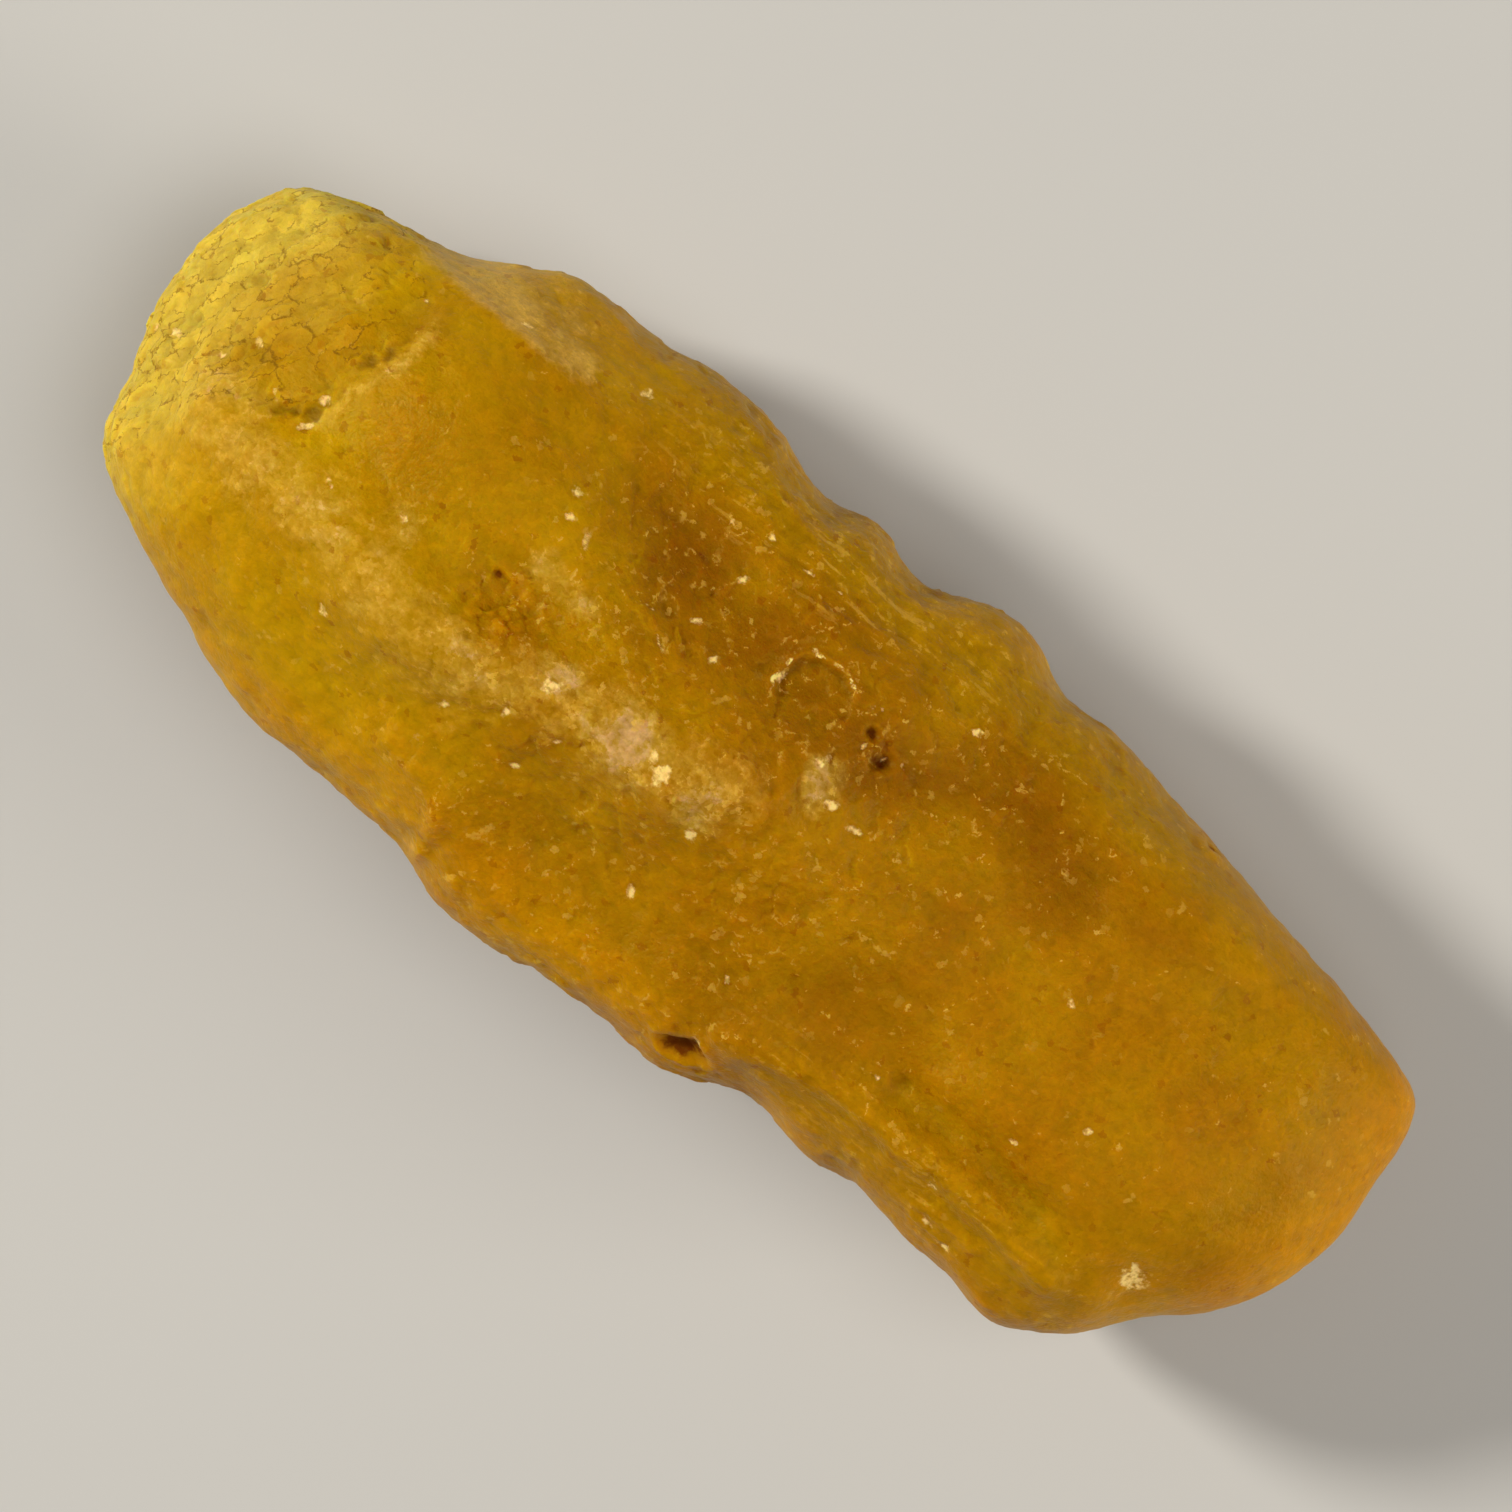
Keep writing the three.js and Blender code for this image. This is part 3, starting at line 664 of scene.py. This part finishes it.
def amber_material():
    """Cloudy satin amber: milky inside, waxy outside, with bloom, crazing, chips and pits, and painted
    sheen, shade and glow.
    """
    r = Recipe("cloudy_amber")
    place = r.millimetres()
    along = r.add("SeparateXYZ", None, {0: place}, "X")
    crazed, cracks_and_shade, bloom_and_sheen, bevel_sheen = (r.mark(name) for name in ("crazed", "cracks_and_shade", "bloom_and_sheen", "bevel_sheen"))
    russet_and_shade, olive, stain, chip = (r.mark(name) for name in ("russet_and_shade", "olive", "stain", "chip"))
    scuffed, painted_glow, streaked = (r.mark(name) for name in ("scuffed", "painted_glow", "streaked"))

    clouds = r.noise(place, CLOUD_SIZE)
    mottle = r.noise(place, MOTTLE_SIZE, 3.0, 0.65)
    fine = r.noise(place, GRAIN_SIZE, 2.0, 0.6)
    grain = (mottle - 0.5) * 0.85 + (fine - 0.5) * 0.35
    shaken = r.shifted(place, fine * 0.5, mottle * 0.7, clouds + fine * 0.4)
    tone, chance, other_chance = r.flakes(shaken, FLECK_SIZE)
    plates = r.drawn_out(shaken, PLATE_TURN, PLATE_STRETCH)
    plate, paleness, hook = r.flakes(plates, PLATE_SIZE)

    # the body drifts from yolk yellow to honey, olive and russet, with painted shade in the hollow and
    # trough and a painted glow on thin edges
    warmth = along.step(-30, 4) * 0.7 + (clouds - 0.5) * 1.4 + (mottle - 0.5) * 0.6 + 0.1
    body = r.mix(warmth.within(), YOLK, HONEY)
    body = r.mix((olive * (0.4 + mottle)).within(), body, OLIVE)
    body = r.mix((russet_and_shade * (1.0 + grain)).within(), body, RUSSET_SHADE)
    body = r.mix((painted_glow * 0.45).within(), body, GLOW)

    # the tip is pale, and so are some plates of the broken end
    tip = 1 - (along + clouds * 6).step(-27, -21)
    pale = tip * (crazed * 0.35 + 0.5) * (0.45 + mottle * 0.6)
    pale = pale + crazed * paleness.step(0.6, 1.0) * (0.06 + tip * 0.2)
    body = r.mix(pale.within(), body, STRAW)

    # milky bloom with painted sheen on the crest, broken up by grain, flakes and streaks, and the
    # painted sheen of the bevel
    streaks = r.noise(r.drawn_out(place, STREAK_TURN, STREAK_STRETCH), STREAK_SIZE, 2.0, 0.6)
    angular = ((tone - 0.5) * 0.4 + (plate - 0.5) * 0.4 + (streaks - 0.5) * 0.9) * (0.25 + bloom_and_sheen * 0.75)
    patches = r.mix((bloom_and_sheen + angular + grain).step(0.55, 1.15), CREAM_SHEEN, BLOOM)
    # how far the bloom and the painted sheen cover the body
    bloom_and_sheen_cover = (bloom_and_sheen + grain + angular).step(0.0, 1.1) * bloom_and_sheen.step(0.0, 0.2)
    body = r.mix((bloom_and_sheen_cover * (0.72 + grain)).within(), body, patches)
    body = r.mix(((bevel_sheen + grain).step(0.2, 0.8) * (0.6 + grain)).within(), body, BEVEL_SHEEN)

    # light and dark grain over all of it
    rough_tone = tone * 0.12 + crazed * (plate - 0.5) * (0.14 + tip * 0.14)
    brightness = 0.94 + grain * (0.9 - crazed * 0.4) + rough_tone + streaked * (streaks - 0.5) * 0.6
    body = r.add("VectorMath", {"operation": "SCALE"}, {0: body, "Scale": brightness})

    # dark flecks, then pale ones, hooked nicks on the borders of small cells, drawn lines and smudges
    body = r.mix(other_chance.step(0.96, 1.0) * 0.4, body, EMBER)
    flecks = (chance + scuffed * 0.03 + bloom_and_sheen * 0.05).step(0.972, 1.04) * (fine * 1.5)
    borders = r.borders(plates, PLATE_SIZE)
    nicked = (mottle + fine * 0.3 + scuffed * 0.08).step(0.80, 0.86)
    nicks = (1 - borders.step(0.02, 0.07)) * nicked * (0.2 + hook)
    cloudlets = r.noise(shaken, SMUDGE_SIZE, 2.0, 0.7)
    smudges = (cloudlets + fine * 0.12 + scuffed * 0.06).step(0.74, 0.82) * 0.6
    drawn = streaked * (streaks + fine * 0.3).step(0.76, 0.82) * 0.5
    body = r.mix((flecks.most(nicks).most(drawn).most(smudges) * 0.7).within(), body, SPECK)

    # hairline cracks on the broken end, fainter ones on the body, fissures and creases with painted
    # shade in them, stained holes and chips
    cracks = (1 - borders.step(0.0, 0.05)) * (mottle + clouds * 0.5 + fine * 0.3).step(0.84, 0.98)
    cracked = cracks * (crazed * 0.6 + 0.12)
    body = r.mix((cracks_and_shade * 0.7).most(cracked).within(), body, FISSURE_SHADE)
    stained = (stain + grain * 1.2).step(0.5, 0.95)
    body = r.mix(stained * 0.9, body, BROWN)
    broken = (chip + grain * 1.5).step(0.5, 0.95)
    body = r.mix((broken * (fine * 1.9)).within(), body, CHIP)

    roughness = 0.44 + grain * 0.4 + crazed * 0.1 + bloom_and_sheen_cover * 0.08 + stained * 0.3
    relief = mottle * (0.5 + scuffed * 0.5) + fine * 0.3 - broken * 0.25 - stained * 0.4
    bump = {"Strength": 1.0, "Distance": BUMP_DEPTH * MM, "Height": relief}
    normal = r.add("Bump", None, bump, "Normal")

    shader = r.add("BsdfPrincipled", {"subsurface_method": "RANDOM_WALK"}, {
        "Base Color": body, "Roughness": roughness.within(), "Normal": normal, "IOR": AMBER_IOR,
        "Specular IOR Level": GLOSS_LEVEL, "Specular Tint": GLOSS_TINT,
        "Subsurface Weight": SCATTER_WEIGHT, "Subsurface Radius": SCATTER_RADIUS,
        "Subsurface Scale": SCATTER_DEPTH * MM,
    })
    r.add("OutputMaterial", None, {"Surface": shader})
    return r.material


# The studio

SOFT_LIGHTS = [  # name, place and width in metres, power in watts, colour
    ("key", (-0.58, -0.15, 0.42), 0.14, 4.8, (1.0, 0.98, 0.94)),
    ("fill", (0.22, 0.04, 0.62), 0.45, 1.4, (1.0, 1.0, 1.0)),
    ("rim", (0.52, 0.20, 0.19), 0.30, 1.9, (1.0, 0.94, 0.84)),
]
SKY_COLOUR = (0.95, 0.97, 1.0, 1)
SKY_STRENGTH = 0.12
FLOOR_HALF_SIZE = 1.5
FLOOR_COLOUR = (0.56, 0.54, 0.50, 1)
FLOOR_ROUGHNESS = 0.8


def camera():
    data = bpy.data.cameras.new("camera")
    data.lens, data.sensor_width = LENS, SENSOR
    data.clip_start, data.clip_end = SEEN_FROM, SEEN_TO
    made = bpy.data.objects.new("camera", data)
    bpy.context.collection.objects.link(made)
    made.location = Vector((*VIEW_MIDDLE, RIM_LEVEL + VIEW_DISTANCE)) * MM
    made.rotation_euler = (0, 0, math.radians(VIEW_TURN))
    bpy.context.scene.camera = made


def soft_light(name, place, size, power, tint):
    """A round soft box that looks at the middle of the lump."""
    data = bpy.data.lights.new(name, "AREA")
    data.shape, data.size, data.energy, data.color = "DISK", size, power, tint
    made = bpy.data.objects.new(name, data)
    bpy.context.collection.objects.link(made)
    made.location = place
    towards = Vector((0, 0, RIM_LEVEL * MM)) - Vector(place)
    made.rotation_euler = towards.to_track_quat("-Z", "Y").to_euler()


def studio():
    camera()
    for light in SOFT_LIGHTS:
        soft_light(*light)
    world = bpy.data.worlds.new("studio")
    world.use_nodes = True
    sky = world.node_tree.nodes["Background"]
    sky.inputs["Color"].default_value = SKY_COLOUR
    sky.inputs["Strength"].default_value = SKY_STRENGTH
    bpy.context.scene.world = world
    bpy.context.scene.view_settings.view_transform = "Standard"


def floor():
    shape = bmesh.new()
    bmesh.ops.create_grid(shape, x_segments=1, y_segments=1, size=FLOOR_HALF_SIZE)
    mesh = bpy.data.meshes.new("floor")
    shape.to_mesh(mesh)
    shape.free()
    made = bpy.data.objects.new("floor", mesh)
    bpy.context.collection.objects.link(made)
    r = Recipe("pale_floor")
    inputs = {"Base Color": FLOOR_COLOUR, "Roughness": FLOOR_ROUGHNESS, "Specular IOR Level": 0.0}
    r.add("OutputMaterial", None, {"Surface": r.add("BsdfPrincipled", None, inputs)})
    mesh.materials.append(r.material)


studio()
floor()
lump = amber_piece()
lump.data.materials.append(amber_material())
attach(lump, "root")
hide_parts("amber")
